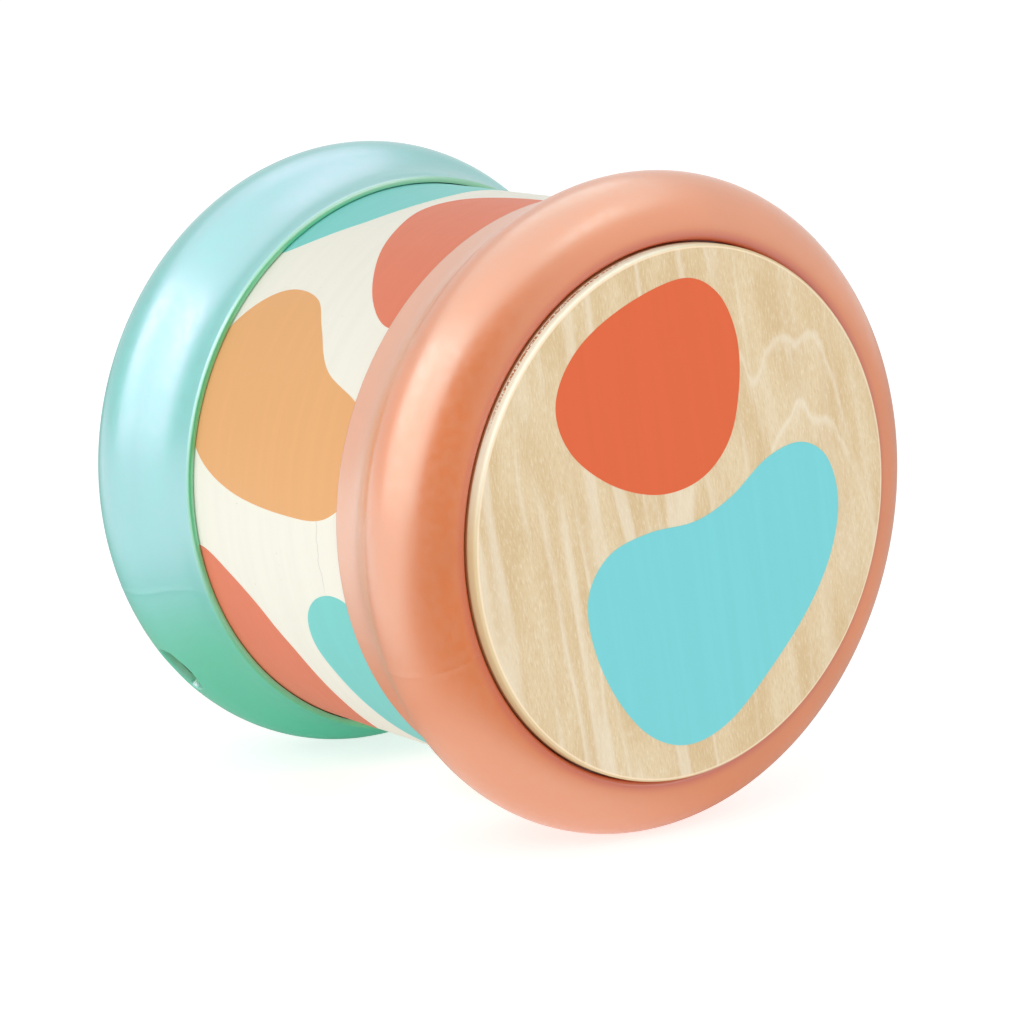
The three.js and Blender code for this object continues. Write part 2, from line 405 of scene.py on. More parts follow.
def head_wood(name, mirror):
    """Clear lacquered birch veneer: near upright grain with pale streaks, and a pointed
    figure to one side. The rim shows the plies, with a highlight painted on its upper-left side
    and shade painted where it goes down into the gap; a highlight is also painted as a thin line
    where the face turns into the rim."""
    finish = Finish(name, WOOD_MID, 0.42, Specular_IOR_Level=0.3)
    x, y, z = finish.place()
    if mirror:
        x = finish.times(x, -1)
    sway = finish.noise(finish.vector(x, finish.times(z, 0.5)), 0.05, detail=1.0)
    across = finish.plus(finish.times(x, math.cos(GRAIN_LEAN)), finish.times(z, math.sin(GRAIN_LEAN)))
    across = finish.plus(across, finish.times(finish.minus(sway, 0.5), GRAIN_SWAY))
    along = finish.minus(finish.times(x, math.sin(GRAIN_LEAN)), finish.times(z, math.cos(GRAIN_LEAN)))
    base, fibres = veneer(finish, across, along, finish.between(x, 5, 25, 0.45, 0.15))
    base = add_arches(finish, base, x, z, across, along)
    # Plies on the rim, with a highlight painted on one side and shade painted down in the gap
    depth = finish.depth(y)
    radius = finish.length(x, z)
    full = HEAD_RADIUS / MM
    rim = finish.between(radius, (HEAD_RADIUS - HEAD_EDGE_ROUND) / MM, full - 0.2)
    glue = finish.between(finish.math("PINGPONG", finish.minus(depth, PLY_MIDDLE), PLY_HALF), 0.8, 1.0)
    angle = finish.math("ARCTAN2", z, x)
    pores = finish.noise(finish.vector(finish.times(angle, full), depth), 1.6)
    side = finish.math("COSINE", finish.minus(angle, RIM_HIGHLIGHT_SIDE))
    glue_dots_and_gap_shade = finish.times(glue, finish.between(pores, 0.42, 0.52))
    glue_dots_and_gap_shade = finish.times(glue_dots_and_gap_shade, finish.between(side, 0.86, 0.98))
    # Shade is painted on the rim where it goes down into the gap by the ring
    glue_dots_and_gap_shade = finish.larger(glue_dots_and_gap_shade, finish.between(depth, 2.5, 2.9))
    # A highlight is painted on the rim's upper-left side
    edge = finish.mix(finish.between(side, 0.6, 0.95), WOOD_EDGE, WOOD_EDGE_HIGHLIGHT)
    edge = finish.mix(glue_dots_and_gap_shade, edge, DARK_PLY_AND_GAP_SHADE)
    # A highlight painted as a thin pale line where the face turns into the rim
    lip = finish.times(finish.between(radius, full - 0.9, full - 0.75),
                       finish.between(radius, full - 0.55, full - 0.4, 1, 0))
    tint = finish.mix(rim, base, edge)
    finish.set("Base Color", finish.mix(finish.times(lip, 0.7), tint, WOOD_EDGE_LINE_HIGHLIGHT))
    finish.set("Roughness", finish.between(fibres, 0.3, 0.7, 0.4, 0.5))
    finish.bump(fibres, 0.03 * MM, 0.5)
    return finish.material


def barrel_paint():
    """Satin cream paint, with the grain of the bent plywood faintly under it, a few specks
    and one hairline crack."""
    finish = Finish("cream paint", CREAM, 0.42, Specular_IOR_Level=0.2)
    around, y = finish.unrolled()
    grain = finish.vector(finish.times(around, 0.05), y)
    bands = finish.noise(grain, 0.3, detail=3.0)
    fibres = finish.noise(grain, 2.5, detail=3.0, roughness=0.6)
    base = finish.mix(finish.between(bands, 0.4, 0.7, 0.0, 0.6), CREAM, shade(CREAM, 0.965))
    base = finish.mix(finish.between(fibres, 0.5, 0.75, 0.0, 0.25), base, shade(CREAM, 0.93))
    specks = finish.noise(finish.vector(around, y), 0.9, detail=1.0)
    base = finish.mix(finish.between(specks, 0.76, 0.8, 0.0, 0.35), base, shade(CREAM, 0.6))
    # The hairline runs with the grain beside the front ring
    middle = math.radians(CRACK_ANGLE - (SEAM_ANGLE + 180)) * BARREL_RADIUS / MM
    wander = finish.times(finish.minus(finish.noise(finish.vector(around), 0.25), 0.5), 2.2)
    off = finish.away(y, finish.plus(CRACK_Y, wander))
    run = finish.between(finish.away(around, middle), CRACK_HALF * 0.6, CRACK_HALF, 1, 0)
    crack = finish.times(finish.between(off, 0.05, 0.2, 1, 0), run)
    finish.set("Base Color", finish.mix(finish.times(crack, 0.4), base, shade(CREAM, 0.5)))
    finish.set("Roughness", finish.between(fibres, 0.3, 0.7, 0.38, 0.5))
    height = finish.minus(finish.times(fibres, 0.6), finish.times(crack, 1.5))
    finish.bump(height, 0.02 * MM, 0.5)
    return finish.material


def spot_paint(name, base, on_head):
    """Flat satin paint over the grain of the wood under it."""
    finish = Finish(name, base, 0.45, Specular_IOR_Level=0.2)
    if on_head:
        x, y, z = finish.place()
        grain = finish.vector(finish.plus(x, finish.times(z, 0.2)), finish.times(z, 0.05))
    else:
        around, y = finish.unrolled()
        grain = finish.vector(finish.times(around, 0.05), y)
    fibres = finish.noise(grain, 2.5, detail=3.0, roughness=0.6)
    bands = finish.noise(grain, 0.3)
    tint = finish.mix(finish.between(bands, 0.4, 0.7), shade(base, 0.99), shade(base, 1.01))
    tint = finish.mix(finish.between(fibres, 0.5, 0.8, 0, 0.25), tint, shade(base, 0.96))
    finish.set("Base Color", tint)
    finish.set("Roughness", finish.between(fibres, 0.3, 0.7, 0.4, 0.5))
    finish.bump(fibres, 0.015 * MM, 0.5)
    return finish.material


def bare_plywood():
    """The unpainted inside and ends of the bent plywood."""
    finish = Finish("bare plywood", WOOD_MID, 0.6)
    around, y = finish.unrolled()
    tint, fibres = veneer(finish, y, around, 0.4)
    finish.set("Base Color", tint)
    finish.bump(fibres, 0.05 * MM, 0.6)
    return finish.material


def turned_beech():
    """Plain turned beech with its short dark flecks."""
    finish = Finish("turned beech", BEECH_LIGHT, 0.5)
    x, y, z = finish.place()
    rings = finish.noise(finish.vector(finish.times(x, 0.2), y, z), 0.8)
    flecks = finish.noise(finish.vector(finish.times(x, 0.25), y, z), 4.0)
    base = finish.mix(finish.between(rings, 0.35, 0.65), BEECH_LIGHT, BEECH_DARK)
    finish.set("Base Color", finish.mix(finish.between(flecks, 0.58, 0.7, 0, 0.6), base, DARK_PLY_AND_GAP_SHADE))
    finish.bump(flecks, 0.05 * MM, 0.5)
    return finish.material


def zinc_plate():
    """Slightly cloudy zinc plate."""
    finish = Finish("zinc plate", ZINC, 0.32, Metallic=1.0)
    x, y, z = finish.place()
    cloud = finish.noise(finish.vector(x, y, z), 1.2, detail=3.0)
    finish.set("Roughness", finish.between(cloud, 0.3, 0.7, 0.26, 0.44))
    finish.bump(cloud, 0.03 * MM, 0.4)
    return finish.material


# Mesh helpers

def on_turn(radius, y, angle):
    """The point at an angle in degrees round the drum's axis."""
    turn = math.radians(angle)
    return Vector((radius * math.cos(turn), y, AXIS_HEIGHT + radius * math.sin(turn)))


def end_y(side, depth):
    """The Y of a depth inside one end of the drum."""
    return side * (HEAD_FACE - depth)


def even_turn():
    """Angles in degrees that go round the axis in whole steps."""
    return [TURN_STEP * i for i in range(round(360 / TURN_STEP))]


def arc(radius, depth, size, start, end, steps):
    """Points (radius, depth) on an arc of the section, angles in degrees, both ends included."""
    turns = [math.radians(start + (end - start) * i / steps) for i in range(steps + 1)]
    return [(radius + size * math.cos(turn), depth + size * math.sin(turn)) for turn in turns]


def mesh_object(name, points, faces, smooth_angle=35):
    """An object of one closed mesh, its faces pointing out and smooth up to an angle."""
    mesh = bpy.data.meshes.new(name)
    mesh.from_pydata([tuple(point) for point in points], [], faces)
    shape = bmesh.new()
    shape.from_mesh(mesh)
    bmesh.ops.remove_doubles(shape, verts=shape.verts, dist=1e-7)
    bmesh.ops.recalc_face_normals(shape, faces=shape.faces)
    for face in shape.faces:
        face.smooth = True
    shape.to_mesh(mesh)
    shape.free()
    mesh.set_sharp_from_angle(angle=math.radians(smooth_angle))
    made = bpy.data.objects.new(name, mesh)
    bpy.context.scene.collection.objects.link(made)
    return made


def add_piece(piece, body, *materials, slot=None, replaces=()):
    """Gives a piece its materials and its body, and hides the frame's nodes that it stands for. The slot is
    not used.
    """
    for material in materials:
        piece.data.materials.append(material)
    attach(piece, body)
    if replaces:
        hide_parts(*replaces)
    return piece


class Skin:
    """Points and faces of a mesh while it is made."""

    def __init__(self):
        self.points = []
        self.faces = []

    def row(self, points):
        """Adds a row of points and returns their numbers."""
        first = len(self.points)
        self.points.extend(points)
        return list(range(first, len(self.points)))

    def bridge(self, rows):
        """A closed strip of quads between each row and the next, all of as many points."""
        for first, second in zip(rows, rows[1:]):
            for i in range(len(first)):
                after = (i + 1) % len(first)
                self.faces.append((first[i], first[after], second[after], second[i]))

    def cap(self, rows):
        """A flat face over the first row and one over the last."""
        self.faces.append(tuple(rows[0]))
        self.faces.append(tuple(reversed(rows[-1])))


# Bumper rings

def lip_and_crease():
    """The (radius, rise from the tread's middle, degrees where it meets the tread) of the
    mouth's lip and of the collar's crease."""
    lip_centre = MOUTH_RADIUS + LIP_ROUND
    lip_rise = math.sqrt((TREAD_ROUND - LIP_ROUND) ** 2 - (lip_centre - TREAD_CENTRE) ** 2)
    tread_start = math.degrees(math.atan2(-lip_rise, lip_centre - TREAD_CENTRE))
    crease_centre = COLLAR_RADIUS + CREASE_ROUND
    crease_rise = math.sqrt((TREAD_ROUND + CREASE_ROUND) ** 2 - (crease_centre - TREAD_CENTRE) ** 2)
    tread_end = math.degrees(math.atan2(crease_rise, crease_centre - TREAD_CENTRE))
    return (lip_centre, lip_rise, tread_start), (crease_centre, crease_rise, tread_end)


def tread_angles(start, end):
    """Section angles of the tread: both ends, and every whole step between them."""
    first = math.ceil(start / SECTION_STEP + 0.2)
    last = math.floor(end / SECTION_STEP - 0.2)
    return [start, *[SECTION_STEP * i for i in range(first, last + 1)], end]


def on_tread(size, angle):
    """(radius, depth) at an angle of the tread's section, a size from its middle."""
    turn = math.radians(angle)
    return (TREAD_CENTRE + size * math.cos(turn), TREAD_DEPTH + size * math.sin(turn))


def ring_profile():
    """The ring's outer section, and the rows of it where the vent's patch starts and ends."""
    (lip_centre, lip_rise, start), (crease_centre, crease_rise, end) = lip_and_crease()
    angles = tread_angles(start, end)
    edge = COLLAR_EDGE_ROUND
    lip = arc(lip_centre, TREAD_DEPTH - lip_rise, LIP_ROUND, -180, start, 6)
    profile = [
        *lip,
        *[on_tread(TREAD_ROUND, angle) for angle in angles[1:]],
        *arc(crease_centre, TREAD_DEPTH + crease_rise, CREASE_ROUND, end - 180, -180, 7)[1:],
        *arc(COLLAR_RADIUS - edge, COLLAR_DEPTH - edge, edge, 0, 90, 5),
        (COLLAR_BORE, COLLAR_DEPTH),
        (COLLAR_BORE, SHOULDER_DEPTH),
        (SPIGOT_RADIUS, SHOULDER_DEPTH),
        (SPIGOT_RADIUS, SPIGOT_DEPTH),
        (MOUTH_RADIUS, SPIGOT_DEPTH),
        (MOUTH_RADIUS, LEDGE_BACK_DEPTH),
        (LEDGE_BORE, LEDGE_BACK_DEPTH),
        (LEDGE_BORE, LEDGE_DEPTH),
        (MOUTH_RADIUS, LEDGE_DEPTH),
    ]
    rows = [len(lip) + angles[1:].index(angle) for angle in (-VENT_HALF_SECTION, VENT_HALF_SECTION)]
    return profile, rows


def hollow_profile():
    """The section of the closed hollow in the tread, and the patch's rows in it."""
    size = TREAD_ROUND - RING_WALL
    back_depth = SHOULDER_DEPTH - RING_WALL
    start = -math.degrees(math.acos((SPIGOT_RADIUS - TREAD_CENTRE) / size))
    end = math.degrees(math.asin((back_depth - TREAD_DEPTH) / size))
    angles = tread_angles(start, end)
    profile = [on_tread(size, angle) for angle in angles] + [(SPIGOT_RADIUS, back_depth)]
    rows = [angles.index(angle) for angle in (-VENT_HALF_SECTION, VENT_HALF_SECTION)]
    return profile, rows


def patch_loop(low_row, high_row, low_column, high_column):
    """(row, column) of the points round a block of the grid, in order."""
    return [
        *[(low_row, column) for column in range(low_column, high_column)],
        *[(row, high_column) for row in range(low_row, high_row)],
        *[(high_row, column) for column in range(high_column, low_column, -1)],
        *[(row, low_column) for row in range(high_row, low_row, -1)],
    ]


def make_ring(name, side, material, slot, node):
    """A hollow bumper ring with its vent, made as one closed mesh."""
    skin = Skin()
    angles = sorted({*even_turn(), WELD_ANGLE - WELD_HALF_TURN, WELD_ANGLE, WELD_ANGLE + WELD_HALF_TURN})
    profile, profile_rows = ring_profile()
    hollow, hollow_rows = hollow_profile()
    weld_end = profile_rows[1] + WELD_ROWS

    def place(radius, depth, angle):
        return on_turn(radius, end_y(side, depth), angle)

    def outer_point(index, angle):
        radius, depth = profile[index]
        if angle == WELD_ANGLE and index < weld_end:
            off = Vector((radius - TREAD_CENTRE, depth - TREAD_DEPTH)).normalized() * WELD_HEIGHT
            radius, depth = radius + off.x, depth + off.y
        return place(radius, depth, angle)

    outer = [skin.row([outer_point(i, angle) for angle in angles]) for i in range(len(profile))]
    inner = [skin.row([place(radius, depth, angle) for angle in angles]) for radius, depth in hollow]

    vent = VENT_ANGLE[side]
    columns = [i for i, angle in enumerate(angles) if abs(angle - vent) <= VENT_HALF_TURN + 0.01]
    low, high = columns[0], columns[-1]

    def add_grid(rows, patch_rows):
        """Joins the rows into a surface that closes on itself both ways, but for the patch."""
        for i, row in enumerate(rows):
            following = rows[(i + 1) % len(rows)]
            for j in range(len(angles)):
                after = (j + 1) % len(angles)
                in_patch = patch_rows[0] <= i < patch_rows[1] and low <= j < high
                if not in_patch:
                    skin.faces.append((row[j], row[after], following[after], following[j]))

    add_grid(outer, profile_rows)
    add_grid(inner, hollow_rows)

    half_turn = math.radians(VENT_HALF_TURN) * TREAD_RADIUS
    end_round = VENT_WIDTH / 2
    straight = VENT_LENGTH / 2 - end_round
    border = patch_loop(0, profile_rows[1] - profile_rows[0], low, high)
    spans = []
    for row, column in border:
        along = math.radians(angles[column] - vent) * TREAD_RADIUS
        across = math.radians(SECTION_STEP * row - VENT_HALF_SECTION) * TREAD_ROUND
        centre = max(-straight, min(straight, along * straight / half_turn))
        direction = Vector((along - centre, across)).normalized()
        rim_point = Vector((centre, 0)) + direction * (end_round + VENT_RIM)
        spans.append((Vector((along, across)), rim_point, direction))

    def vent_row(share, inward, under):
        """A closed row round the vent: from its rim a share of the way out to the patch's
        border, or inward, and under the tread's surface."""
        made = []
        for edge, rim_point, direction in spans:
            at = rim_point.lerp(edge, share) - direction * inward
            section = at.y / TREAD_ROUND
            size = TREAD_ROUND - under
            made.append(place(TREAD_CENTRE + size * math.cos(section),
                              TREAD_DEPTH + size * math.sin(section),
                              vent + math.degrees(at.x / TREAD_RADIUS)))
        return skin.row(made)

    rim_sweeps = [math.radians(turn) for turn in RIM_TURNS]
    skin.bridge([
        [outer[profile_rows[0] + row][column] for row, column in border],
        *[vent_row(share, 0, 0) for share in PATCH_SHARES],
        vent_row(0, 0, 0),
        *[vent_row(0, VENT_RIM * math.sin(sweep), VENT_RIM * (1 - math.cos(sweep)))
          for sweep in rim_sweeps],
        vent_row(0, VENT_RIM, RING_WALL * 0.7),
        vent_row(0, VENT_RIM, RING_WALL),
        *[vent_row(share, 0, RING_WALL) for share in PATCH_BACK_SHARES],
        [inner[hollow_rows[0] + row][column] for row, column in border],
    ])

    ring = mesh_object(name, skin.points, skin.faces)
    return add_piece(ring, BODY, material, slot=slot, replaces=[node])


# Plywood heads

def make_head(name, side, material, node):
    """A plywood disc with a rounded rim."""
    edge = HEAD_EDGE_ROUND
    profile = [
        *[(HEAD_RADIUS * share, 0) for share in (0.15, 0.35, 0.55, 0.75, 0.9)],
        *arc(HEAD_RADIUS - edge, edge, edge, -90, 0, 8),
        *[(HEAD_RADIUS, depth) for depth in (1.4 * MM, 2.4 * MM, HEAD_THICKNESS - HEAD_BACK_EDGE)],
        (HEAD_RADIUS - HEAD_BACK_EDGE, HEAD_THICKNESS),
        *[(HEAD_RADIUS * share, HEAD_THICKNESS) for share in (0.8, 0.5, 0.2)],
    ]
    skin = Skin()
    rows = [skin.row([on_turn(radius, end_y(side, depth), angle) for angle in even_turn()])
            for radius, depth in profile]
    skin.bridge(rows)
    skin.cap(rows)
    head = mesh_object(name, skin.points, skin.faces, 40)
    return add_piece(head, BODY, material, slot="clear_plywood", replaces=[node])


# Bent plywood barrel

def make_barrel(name, paint, plywood, node):
    """The bent tube, with rounded ends and the groove of its glued joint."""
    edge = BARREL_EDGE_ROUND
    half = BARREL_HALF
    outside = [-half + edge + (2 * half - 2 * edge) * i / BARREL_STEPS for i in range(1, BARREL_STEPS)]
    rounding = arc(BARREL_RADIUS - edge, half - edge, edge, 0, 90, 4)
    profile = [
        *[(radius, -y) for radius, y in reversed(rounding)],
        *[(BARREL_RADIUS, y) for y in outside],
        *rounding,
        (BARREL_BORE, half),
        (BARREL_BORE, -half),
    ]
    seam_half = math.degrees(SEAM_WIDTH / 2 / BARREL_RADIUS)
    seam = SEAM_ANGLE % 360
    groove = [seam + seam_half * share for share in (-1, -0.6, 0.6, 1)]
    angles = sorted([*[angle for angle in even_turn() if angle != seam], *groove])

    def point(radius, y, angle):
        in_groove = abs(angle - seam) < seam_half * 0.9 and radius > BARREL_BORE
        return on_turn(radius - (SEAM_DEPTH if in_groove else 0), y, angle)

    skin = Skin()
    rows = [skin.row([point(radius, y, angle) for angle in angles]) for radius, y in profile]
    skin.bridge([*rows, rows[0]])
    barrel = mesh_object(name, skin.points, skin.faces)
    add_piece(barrel, BODY, paint, plywood, slot="cream_paint", replaces=[node])
    for face in barrel.data.polygons:
        radius = math.hypot(face.center.x, face.center.z - AXIS_HEIGHT)
        face.material_index = 0 if radius > BARREL_RADIUS - edge else 1
    return barrel


# Printed spots

def smooth_outline(corners):
    """Evenly spaced points on the closed smooth curve through the given ones."""
    count = len(corners)
    dense = []
    for i in range(count):
        before, start, end, after = (Vector(corners[(i + k) % count]) for k in (-1, 0, 1, 2))
        for k in range(CURVE_STEPS):
            t = k / CURVE_STEPS
            dense.append(0.5 * (2 * start + (end - before) * t
                                + (2 * before - 5 * start + 4 * end - after) * t * t
                                + (3 * start - before - 3 * end + after) * t * t * t))
    lengths = [(dense[(i + 1) % len(dense)] - point).length for i, point in enumerate(dense)]
    total = sum(lengths)
    wanted = round(total / SPOT_SPACING)
    outline, walked, i = [], 0.0, 0
    for k in range(wanted):
        target = total * k / wanted
        while walked + lengths[i] < target:
            walked += lengths[i]
            i += 1
        outline.append(dense[i].lerp(dense[(i + 1) % len(dense)], (target - walked) / lengths[i]))
    return outline


def inside(point, outline):
    """True for a point inside the closed outline."""
    found = False
    for i, corner in enumerate(outline):
        other = outline[i - 1]
        if (corner.y > point.y) != (other.y > point.y):
            crossing = corner.x + (point.y - corner.y) * (other.x - corner.x) / (other.y - corner.y)
            if point.x < crossing:
                found = not found
    return found


def spot_sheet(corners):
    """(points, triangles) of the flat sheet inside a smooth outline, in metres."""
    outline = smooth_outline([(a * MM, b * MM) for a, b in corners])
    low = Vector((min(p.x for p in outline), min(p.y for p in outline)))
    high = Vector((max(p.x for p in outline), max(p.y for p in outline)))
    step = 2 * SPOT_SPACING
    lattice = []
    row = 0
    while low.y + row * step * LATTICE_RISE < high.y:
        across = low.x + (row % 2) * step / 2
        while across < high.x:
            lattice.append(Vector((across, low.y + row * step * LATTICE_RISE)))
            across += step
        row += 1
    clear = LATTICE_CLEAR * step
    kept = [point for point in lattice if inside(point, outline)
            and min((point - corner).length for corner in outline) > clear]
    edges = [(i, (i + 1) % len(outline)) for i in range(len(outline))]
    made = geometry.delaunay_2d_cdt(outline + kept, edges, [], 1, 1e-9)
    return made[0], made[2]


def make_spot(name, corners, place, material):
    """A film of printed paint over the surface that place(across, along, lift) gives."""
    flat, triangles = spot_sheet(corners)
    points = [place(point.x, point.y, PAINT_THICKNESS) for point in flat]
    backs = [place(point.x, point.y, -PAINT_THICKNESS) for point in flat]
    count = len(points)
    faces = [tuple(triangle) for triangle in triangles]
    uses = {}
    for triangle in faces:
        for i in range(3):
            edge = (triangle[i], triangle[(i + 1) % 3])
            uses.setdefault(frozenset(edge), []).append(edge)
    sides = [(b, a, a + count, b + count) for edge in uses.values() if len(edge) == 1 for a, b in edge]
    under = [tuple(count + i for i in reversed(triangle)) for triangle in faces]
    spot = mesh_object(name, points + backs, faces + under + sides, 50)
    return add_piece(spot, BODY, material)


def on_barrel(across, along, lift):
    """A place of the unrolled barrel, put back on it."""
    return on_turn(BARREL_RADIUS + lift, along, math.degrees(across / BARREL_RADIUS))


def on_front(across, up, lift):
    """A place of the front head, seen from outside."""
    return Vector((across, end_y(FRONT, -lift), AXIS_HEIGHT + up))


def on_rear(across, up, lift):
    """A place of the rear head, seen from outside."""
    return Vector((-across, end_y(REAR, -lift), AXIS_HEIGHT + up))


# Corners of the barrel's spots: degrees round the axis, and Y in millimetres
BARREL_SPOTS = {
    "apricot_left": [(136.2, 13.5), (140.5, 22), (150, 29), (162, 32), (173, 26), (179, 13), (181, -6),
                     (179.5, -22), (170, -33), (158.5, -28.5), (152, -13), (144, -4.5), (137.5, 3)],
    "aqua_top": [(128, 28), (117.4, 15.1), (111.4, 10.2), (104.4, 6.9), (98, 5.6), (90.9, 6.6), (80, 9),
                 (68, 13), (60, 22), (60, 33), (75, 38), (110, 38), (124, 34)],
    "coral_top": [(141, -25), (135.8, -14.8), (125.3, -5), (116, 0), (107, 2.4), (99, -1.2), (94.3, -9.5),
                  (92.6, -19), (94, -30), (106, -38), (124, -38), (138, -34)],
    "coral_low": [(192.3, 26.1), (197.1, 17.2), (202.4, 10.7), (207.6, 6.8), (213.4, 3.3), (221.1, 1.3),
                  (230, 1), (239, 4), (246, 11), (250, 21), (247, 33), (234, 38), (208, 38), (194, 34)],
    "aqua_low": [(196.4, -26), (195.4, -19.5), (197.6, -13), (202.3, -8.4), (209, -6.8), (217, -8.8),
                 (226, -11), (236, -13.5), (245, -20), (248, -29), (240, -37), (220, -38), (201, -35)],
    "apricot_under": [(258, -6), (262, -18), (272, -25), (284, -23), (292, -14), (300, -5), (301, 6),
                      (291, 11), (279, 8), (266, 6)],
    "aqua_under": [(278, 30), (284, 19), (298, 15.5), (311, 14), (317, 4), (326, 0), (334, 7), (335, 20),
                   (331, 33), (315, 38), (291, 38)],
    "coral_right": [(310, -30), (316, -17), (328, -10), (340, -8), (349, 1), (360, 2), (368, -8),
                    (370, -22), (364, -34), (346, -38), (322, -38)],
    "apricot_right": [(346, 27), (352, 14), (365, 9), (378, 12), (390, 9), (400, 15), (402, 28),
                      (394, 37), (370, 39), (352, 37)],
    "aqua_right": [(382, -12), (389, -2), (400, 1), (411, -3), (425, -7), (438, -15), (443, -27),
                   (436, -37), (412, -39), (391, -35), (382, -25)],
}

# Corners of the heads' spots: across and above the middle, in millimetres, seen from outside
FRONT_SPOTS = {
    "coral": [(-3, 49.3), (6.5, 46), (12, 37.5), (13.4, 27), (11, 15.2), (3.5, 7.6), (-8, 5.3),
              (-21, 8.7), (-32, 16.5), (-35.9, 26.5), (-30.8, 36.7), (-18.7, 44.6)],
    "aqua": [(31.2, 12.1), (39, 8), (42.6, -2), (40.5, -13.5), (34, -24.7), (23.5, -36), (12, -45.6),
             (0.5, -48.8), (-10.5, -45), (-20, -35), (-26, -23), (-27, -13), (-21.5, -5.5), (-11, -2.3),
             (1.5, -1.4), (11.5, 2.6), (21.5, 9.7)],
}
REAR_SPOTS = {
    "apricot": [(-6, 46), (8, 47), (22, 41), (33, 31), (40, 18), (38, 7), (28, 3), (16, 8), (4, 13),
                (-9, 16), (-16, 26), (-15, 38)],
    "aqua": [(-32, 12), (-22, 4), (-16, -8), (-4, -13), (10, -13), (19, -22), (18, -34), (6, -44),
             (-10, -46), (-26, -38), (-38, -24), (-42, -8), (-40, 7)],
}


def make_spots():
    """All printed spots. The first word of a spot's key names its paint."""
    barrel_paints = {key: spot_paint(f"printed {key} on the barrel", base, False)
                     for key, base in BARREL_SPOT_COLOURS.items()}
    head_paints = {key: spot_paint(f"printed {key} on a head", base, True)
                   for key, base in HEAD_SPOT_COLOURS.items()}
    unrolled = {key: [(math.radians(angle) * BARREL_RADIUS / MM, y) for angle, y in corners]
                for key, corners in BARREL_SPOTS.items()}
    for carrier, spots, place, paints in (("barrel", unrolled, on_barrel, barrel_paints),
                                          ("front_head", FRONT_SPOTS, on_front, head_paints),
                                          ("rear_head", REAR_SPOTS, on_rear, head_paints)):
        for key, corners in spots.items():
            make_spot(f"{carrier}_spot_{key}", corners, place, paints[key.split("_")[0]])


# Loose balls

def make_ball(node, material):
    """A turned ball with the small flats that the lathe leaves on its axis."""
    low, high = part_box(node)
    middle = (low + high) / 2
    spin = [2 * math.pi * i / BALL_TURNS for i in range(BALL_TURNS)]
    skin = Skin()
    rows = []
    for i in range(BALL_STEPS + 1):
        turn = math.radians(-BALL_FLAT_ANGLE + 2 * BALL_FLAT_ANGLE * i / BALL_STEPS)
        radius, height = BALL_RADIUS * math.cos(turn), BALL_RADIUS * math.sin(turn)
        rows.append(skin.row([middle + Vector((height, radius * math.cos(s), radius * math.sin(s)))
                              for s in spin]))
    skin.bridge(rows)
    skin.cap(rows)
    ball = mesh_object(f"{node}_turned", skin.points, skin.faces, 30)
    return add_piece(ball, node, material, slot="ball_wood", replaces=[node])


# Stage, light and camera

CAMERA_PLACE = Vector((-440.4, -554.5, 197.9)) * MM
CAMERA_RIGHT = Vector((0.78, -0.6257, 0)).normalized()
CAMERA_LOOK = Vector((0.6144, 0.7659, -0.1897)).normalized()
CAMERA_LENS, CAMERA_SENSOR = 114.4, 36
CAMERA_CLIP = (0.01, 100)

# The studio is dark round the camera, which shows only in reflections. The levels go by the
# cosine of the angle from there.
DARK_DIRECTION = Vector((-0.35, -0.93, 0)).normalized()
DARK_START, DARK_FULL = 0.5, 0.97
DARK_LEVEL = 0.05
WORLD_LIGHT = 0.64  # how bright the world alone would make a white ball in the open

# The floor's own glow, and what the camera sees on top of it. Reflections see the glow less a
# drop, plus two white cards painted on the floor as brighter glow that only reflections see: one
# in front of the coral ring and one along the drum's left side.
FLOOR_HALF = 14
FLOOR_GLOW = 0.53
CAMERA_GLOW = 0.14
MIRRORED_DROP = 0.44
CARD_MIDDLE = (-0.04, -0.06, 0)
CARD_FULL, CARD_END = 0.02, 0.07
CARD_LEVEL = 0.55
LEFT_START, LEFT_FULL = -0.05, -0.16
LEFT_LEVEL = 1.05
OPEN_START, OPEN_FULL = 0.08, 0.17  # from the drum's middle to where the floor turns dark

# Lamps: name, direction from the drum's middle, distance, width, height, and the brightness of
# the lamp's face, where 1 is white
LIGHTING_LAMPS = [
    ("key", (-0.7, -0.4, 0.7), 1.6, 1.2, 0.8, 1.32),
    ("low left fill", (-0.85, -0.5, 0.1), 1.5, 1.4, 0.5, 1.7),
    ("front fill", (0.35, -1.0, 0.5), 1.6, 1.2, 0.9, 0.8),
]
SHINE_LAMPS = [
    ("left softbox", (-0.9, -0.07, 0.44), 0.44, 0.6, 0.41, 1.5),
    ("window", (-0.81, 0.25, 0.54), 0.8, 0.34, 0.34, 0.9),
    ("top softbox", (0.25, -0.52, 0.82), 1.0, 0.35, 0.25, 1.2),
    ("rear top softbox", (0.07, 0.12, 0.33), 0.36, 0.2, 0.14, 0.5),
    ("overhead panel", (-0.1, 0.0, 1.0), 1.2, 2.4, 2.4, 0.8),
]


def make_camera():
    """The camera at the photograph's viewing angle."""
    up = CAMERA_RIGHT.cross(CAMERA_LOOK)
    data = bpy.data.cameras.new("camera")
    data.sensor_width = CAMERA_SENSOR
    data.lens = CAMERA_LENS
    data.clip_start, data.clip_end = CAMERA_CLIP
    camera = bpy.data.objects.new("camera", data)
    turn = Matrix((CAMERA_RIGHT, up, -CAMERA_LOOK)).transposed().to_4x4()
    camera.matrix_world = Matrix.Translation(CAMERA_PLACE) @ turn
    bpy.context.scene.collection.objects.link(camera)
    bpy.context.scene.camera = camera


def distance_from(nodes, place, middle):
    """How far a place lies from another."""
    return nodes.node("ShaderNodeVectorMath", {0: place, 1: middle}, operation="DISTANCE").outputs["Value"]


def mirrored_ray(nodes, path):
    """1 for rays that show in reflections or through glass, and 0 for others."""
    return nodes.larger(path["Is Glossy Ray"], path["Is Transmission Ray"])


